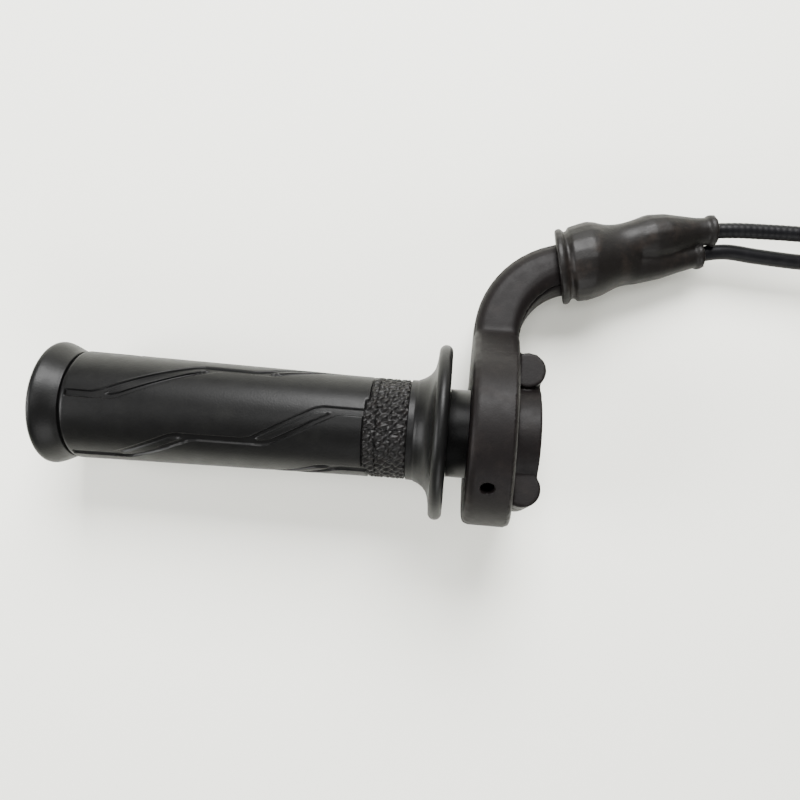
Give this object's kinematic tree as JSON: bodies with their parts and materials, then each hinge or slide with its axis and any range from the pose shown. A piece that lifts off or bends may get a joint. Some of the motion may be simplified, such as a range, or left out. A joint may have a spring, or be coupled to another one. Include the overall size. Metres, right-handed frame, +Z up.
{
  "type": "motorcycle throttle grip",
  "caption": "Right-hand twist throttle with a rubber grip on a cable drum, a split clamp housing with a curved cable elbow, a rubber boot and two throttle cables.",
  "frame": {"origin": "middle of the footprint of the throttle without its cables, on the table it lies on", "axes": "+X along the table under the handlebar's axis, from the grip's outer end to the housing; +Y towards the cable elbow; +Z up from the table"},
  "size_m": [0.3446, 0.1419, 0.0547],
  "materials": {
    "grip_rubber": "moulded black rubber, satin, glossy where it is smooth",
    "tube_plastic": "black acetal, slightly glossy",
    "housing_plastic": "black glass-filled nylon, satin",
    "boot_rubber": "soft dusty black rubber",
    "cable_sheath": "black extruded cable sheath",
    "tie_nylon": "natural nylon",
    "brass": "plain turned brass",
    "screw_steel": "zinc plated",
    "wire_steel": "twisted steel wire rope",
    "plated_steel": "zinc plated, slightly yellow"
  },
  "bodies": {
    "housing": {"cable_boot": "boot_rubber", "clamp_screw_front": "screw_steel", "clamp_screw_rear": "screw_steel", "coil_tie_1": "tie_nylon", "coil_tie_2": "tie_nylon", "coil_tie_3": "tie_nylon", "housing_lower": "housing_plastic", "housing_upper": "housing_plastic", "pull_adjuster": "plated_steel", "pull_cable_coil": "cable_sheath", "pull_cable_sheath": "cable_sheath", "pull_cable_tail": "cable_sheath", "pull_ferrule": "plated_steel", "pull_lock_nut_1": "plated_steel", "pull_lock_nut_2": "plated_steel", "pull_wire": "wire_steel", "return_adjuster": "plated_steel", "return_cable_coil": "cable_sheath", "return_cable_sheath": "cable_sheath", "return_cable_tail": "cable_sheath", "return_ferrule": "plated_steel", "return_lock_nut_1": "plated_steel", "return_lock_nut_2": "plated_steel", "return_wire": "wire_steel", "threaded_insert_front": "brass", "threaded_insert_rear": "brass"},
    "throttle": {"grip_rubber": "grip_rubber", "throttle_tube": "tube_plastic", "pull_drum_nipple": "brass", "return_drum_nipple": "brass"},
    "pull_end": {"pull_wire_end": "wire_steel", "pull_end_nipple": "brass"},
    "return_end": {"return_wire_end": "wire_steel", "return_end_nipple": "brass"}
  },
  "joints": [
    {"name": "throttle_twist", "type": "hinge", "parent": "housing", "child": "throttle", "pos_m": [0.03381, -0.02482, 0.02751], "axis": [-0.998, 0, -0.0631], "range_deg": [0, 75], "deforming": ["pull_wire", "return_wire"]},
    {"name": "pull_wire_slide", "type": "slide", "parent": "housing", "child": "pull_end", "axis": [0, 1, 0], "range_m": [0, 0.0245]},
    {"name": "return_wire_slide", "type": "slide", "parent": "housing", "child": "return_end", "axis": [0, -1, 0], "range_m": [0, 0.0245]}
  ],
  "couplings": [
    {"joint": "pull_wire_slide", "follows": "throttle_twist", "m_per_rad": 0.01865},
    {"joint": "return_wire_slide", "follows": "throttle_twist", "m_per_rad": 0.01865}
  ]
}
